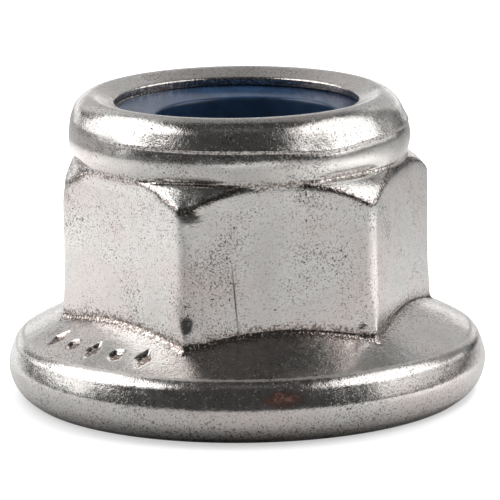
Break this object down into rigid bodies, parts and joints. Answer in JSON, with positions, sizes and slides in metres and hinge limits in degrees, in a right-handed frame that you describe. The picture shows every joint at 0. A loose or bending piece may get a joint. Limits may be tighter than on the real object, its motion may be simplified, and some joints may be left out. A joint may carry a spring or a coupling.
{
  "type": "nylon insert flange nut",
  "caption": "Flanged hexagon lock nut of stainless steel. A crimped collar holds a nylon ring that grips the bolt's thread, so the nut does not work loose.",
  "frame": {"origin": "centre of the bearing face, on the thread's axis", "axes": "+Z along the thread's axis from the bearing face to the collar, +X through the middle of a flat"},
  "size_m": [0.0142, 0.0142, 0.009],
  "materials": {
    "stainless_steel": "cold forged and tumbled",
    "nylon": "moulded, satin"
  },
  "bodies": {
    "root": {"nut_body": "stainless_steel", "nylon_insert": "nylon"}
  },
  "joints": []
}
